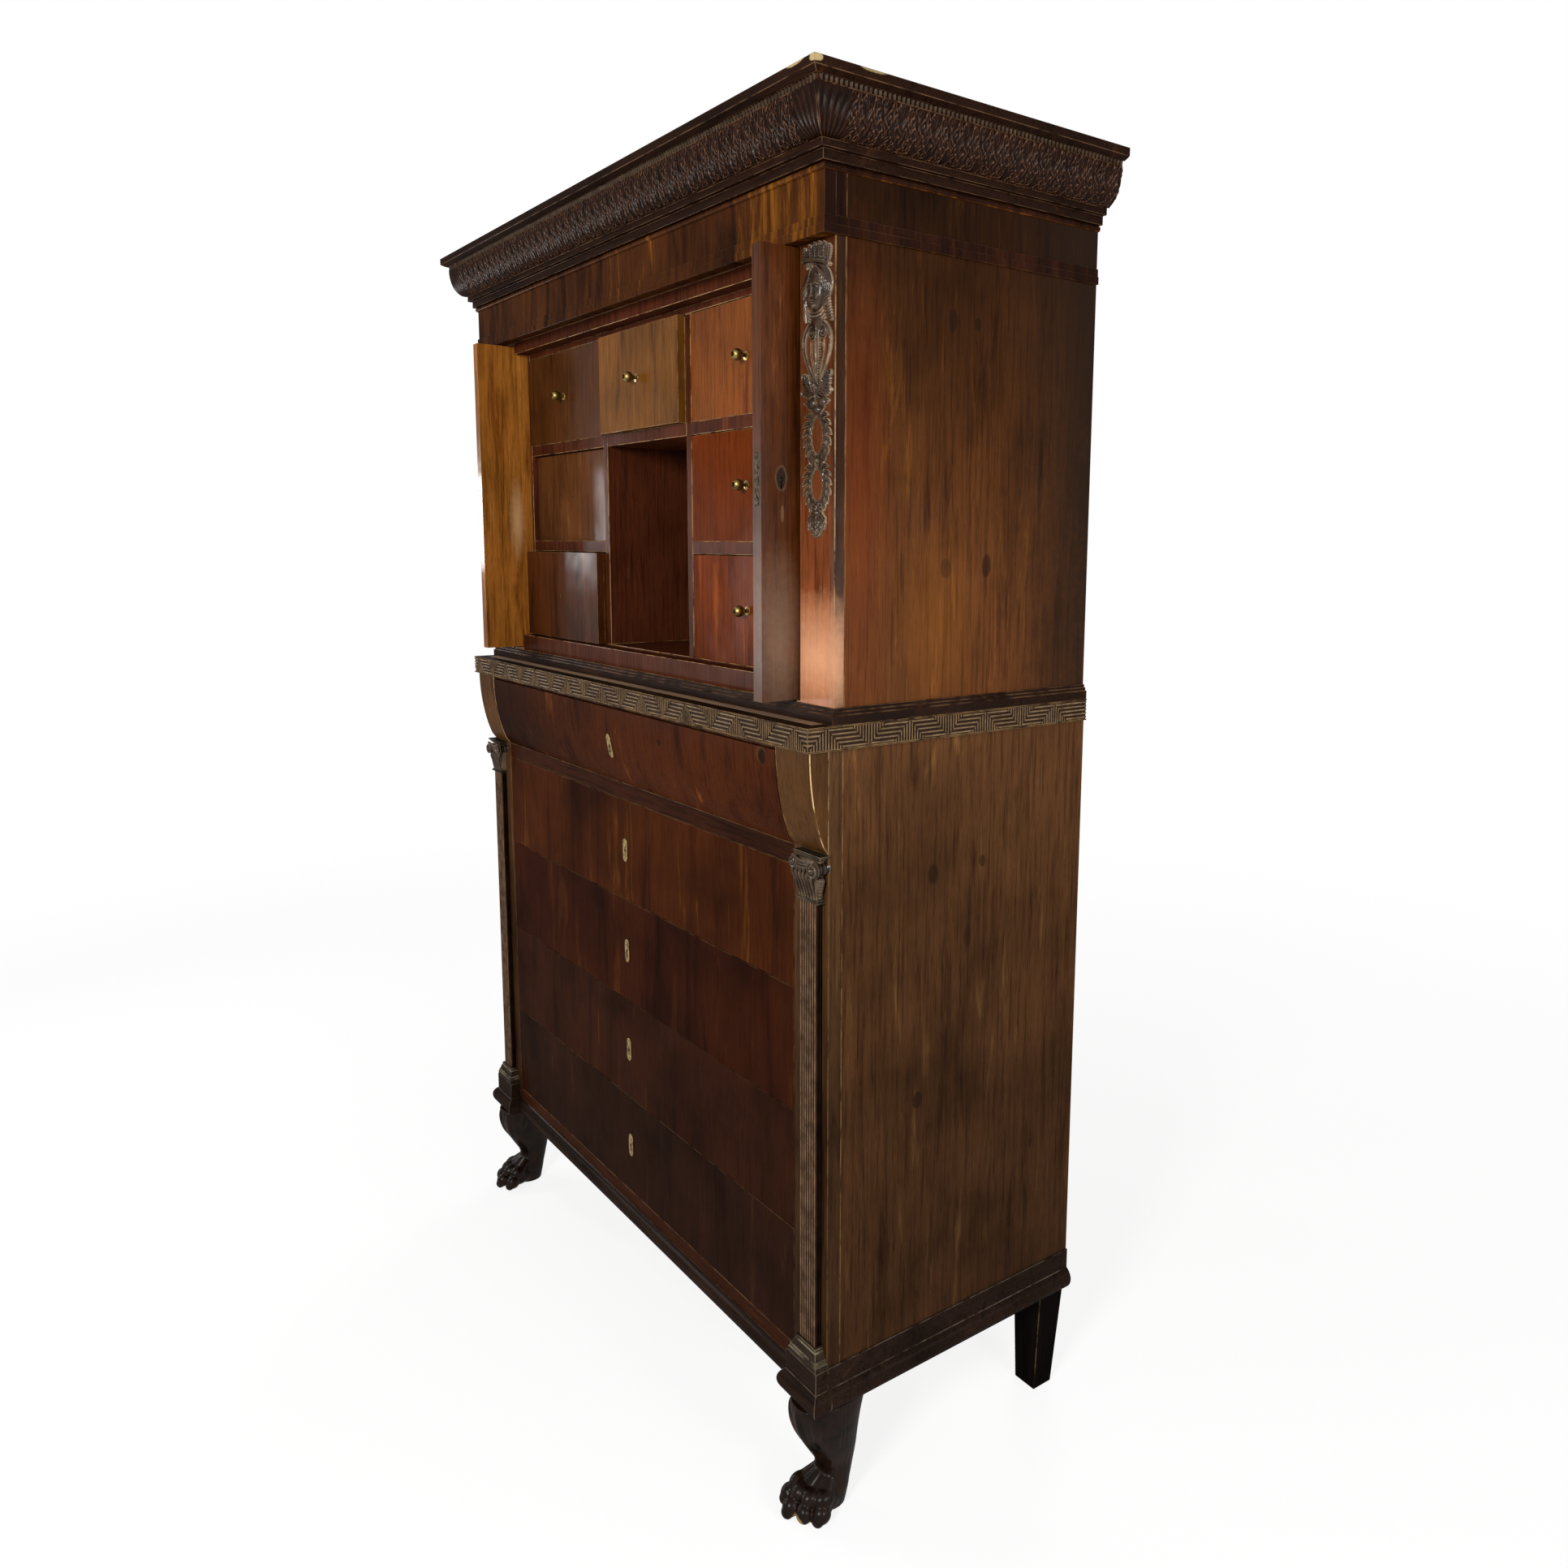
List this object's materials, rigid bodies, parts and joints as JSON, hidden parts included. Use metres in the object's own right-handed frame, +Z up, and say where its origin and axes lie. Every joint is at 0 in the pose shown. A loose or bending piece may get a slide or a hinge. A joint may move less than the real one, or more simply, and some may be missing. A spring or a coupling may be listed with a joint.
{
  "type": "chiffonier",
  "caption": "Tall mahogany chiffonier: long drawers below on paw feet, small drawers above behind doors that slide back into pockets.",
  "frame": {"origin": "centre of the bounding box, on the floor", "axes": "+Z up, +X to the right seen from the front, the front faces -Y"},
  "size_m": [1.4, 0.6, 2.122],
  "materials": {
    "dark_mahogany": "polished",
    "red_mahogany": "polished",
    "oak": "matte",
    "brass": "satin"
  },
  "bodies": {
    "case": {"lower_sides": "dark_mahogany", "lower_back": "oak", "dust_boards": "oak", "drawer_guides": "oak", "corner_posts": "dark_mahogany", "front_rails": "dark_mahogany", "corbels": "dark_mahogany", "pilasters": "dark_mahogany", "capitals": "dark_mahogany", "plinth_blocks": "dark_mahogany", "plinth_mouldings": "dark_mahogany", "paw_foot_left": "dark_mahogany", "paw_foot_right": "dark_mahogany", "back_feet": "oak", "lower_top": "oak", "waist_band": "dark_mahogany", "upper_sides": "red_mahogany", "upper_back": "oak", "upper_decks": "oak", "base_moulding": "dark_mahogany", "stiles": "red_mahogany", "applique_left": "dark_mahogany", "applique_right": "dark_mahogany", "frieze": "red_mahogany", "cornice": "dark_mahogany", "top_board": "oak", "nest_case": "red_mahogany", "door_runners": "oak"},
    "long_drawer_1": {"long_front_1": "red_mahogany", "long_box_1": "oak", "long_lock_1": "brass"},
    "long_drawer_2": {"long_front_2": "red_mahogany", "long_box_2": "oak", "long_lock_2": "brass"},
    "long_drawer_3": {"long_front_3": "red_mahogany", "long_box_3": "oak", "long_lock_3": "brass"},
    "long_drawer_4": {"long_front_4": "red_mahogany", "long_box_4": "oak", "long_lock_4": "brass"},
    "cushion_drawer": {"cushion_front": "red_mahogany", "cushion_box": "oak", "cushion_lock": "brass"},
    "small_drawer_a": {"small_drawer_a": "red_mahogany", "knob_a": "brass"},
    "small_drawer_b": {"small_drawer_b": "red_mahogany", "knob_b": "brass"},
    "small_drawer_c": {"small_drawer_c": "red_mahogany", "knob_c": "brass"},
    "small_drawer_d": {"small_drawer_d": "red_mahogany"},
    "small_drawer_e": {"small_drawer_e": "red_mahogany"},
    "small_drawer_f": {"small_drawer_f": "red_mahogany", "knob_f": "brass"},
    "small_drawer_g": {"small_drawer_g": "red_mahogany", "knob_g": "brass"},
    "left_door": {"door_left": "dark_mahogany", "door_pins_left": "brass"},
    "right_door": {"door_right": "dark_mahogany", "door_lock": "brass", "door_pins_right": "brass"}
  },
  "joints": [
    {"name": "long_drawer_1_slide", "type": "slide", "parent": "case", "child": "long_drawer_1", "axis": [0, -1, 0], "range_m": [0, 0.38]},
    {"name": "long_drawer_2_slide", "type": "slide", "parent": "case", "child": "long_drawer_2", "axis": [0, -1, 0], "range_m": [0, 0.38]},
    {"name": "long_drawer_3_slide", "type": "slide", "parent": "case", "child": "long_drawer_3", "axis": [0, -1, 0], "range_m": [0, 0.38]},
    {"name": "long_drawer_4_slide", "type": "slide", "parent": "case", "child": "long_drawer_4", "axis": [0, -1, 0], "range_m": [0, 0.38]},
    {"name": "cushion_drawer_slide", "type": "slide", "parent": "case", "child": "cushion_drawer", "axis": [0, -1, 0], "range_m": [0, 0.38]},
    {"name": "small_drawer_a_slide", "type": "slide", "parent": "case", "child": "small_drawer_a", "axis": [0, -1, 0], "range_m": [-0.002, 0.32]},
    {"name": "small_drawer_b_slide", "type": "slide", "parent": "case", "child": "small_drawer_b", "axis": [0, -1, 0], "range_m": [-0.015, 0.32]},
    {"name": "small_drawer_c_slide", "type": "slide", "parent": "case", "child": "small_drawer_c", "axis": [0, -1, 0], "range_m": [0, 0.32]},
    {"name": "small_drawer_d_slide", "type": "slide", "parent": "case", "child": "small_drawer_d", "axis": [0, -1, 0], "range_m": [0, 0.333]},
    {"name": "small_drawer_e_slide", "type": "slide", "parent": "case", "child": "small_drawer_e", "axis": [0, -1, 0], "range_m": [-0.019, 0.32]},
    {"name": "small_drawer_f_slide", "type": "slide", "parent": "case", "child": "small_drawer_f", "axis": [0, -1, 0], "range_m": [0, 0.32]},
    {"name": "small_drawer_g_slide", "type": "slide", "parent": "case", "child": "small_drawer_g", "axis": [0, -1, 0], "range_m": [0, 0.32]},
    {"name": "left_door_slide", "type": "slide", "parent": "case", "child": "left_door", "axis": [0, -1, 0], "range_m": [0, 0.45]},
    {"name": "right_door_slide", "type": "slide", "parent": "case", "child": "right_door", "axis": [0, -1, 0], "range_m": [0, 0.45]}
  ]
}
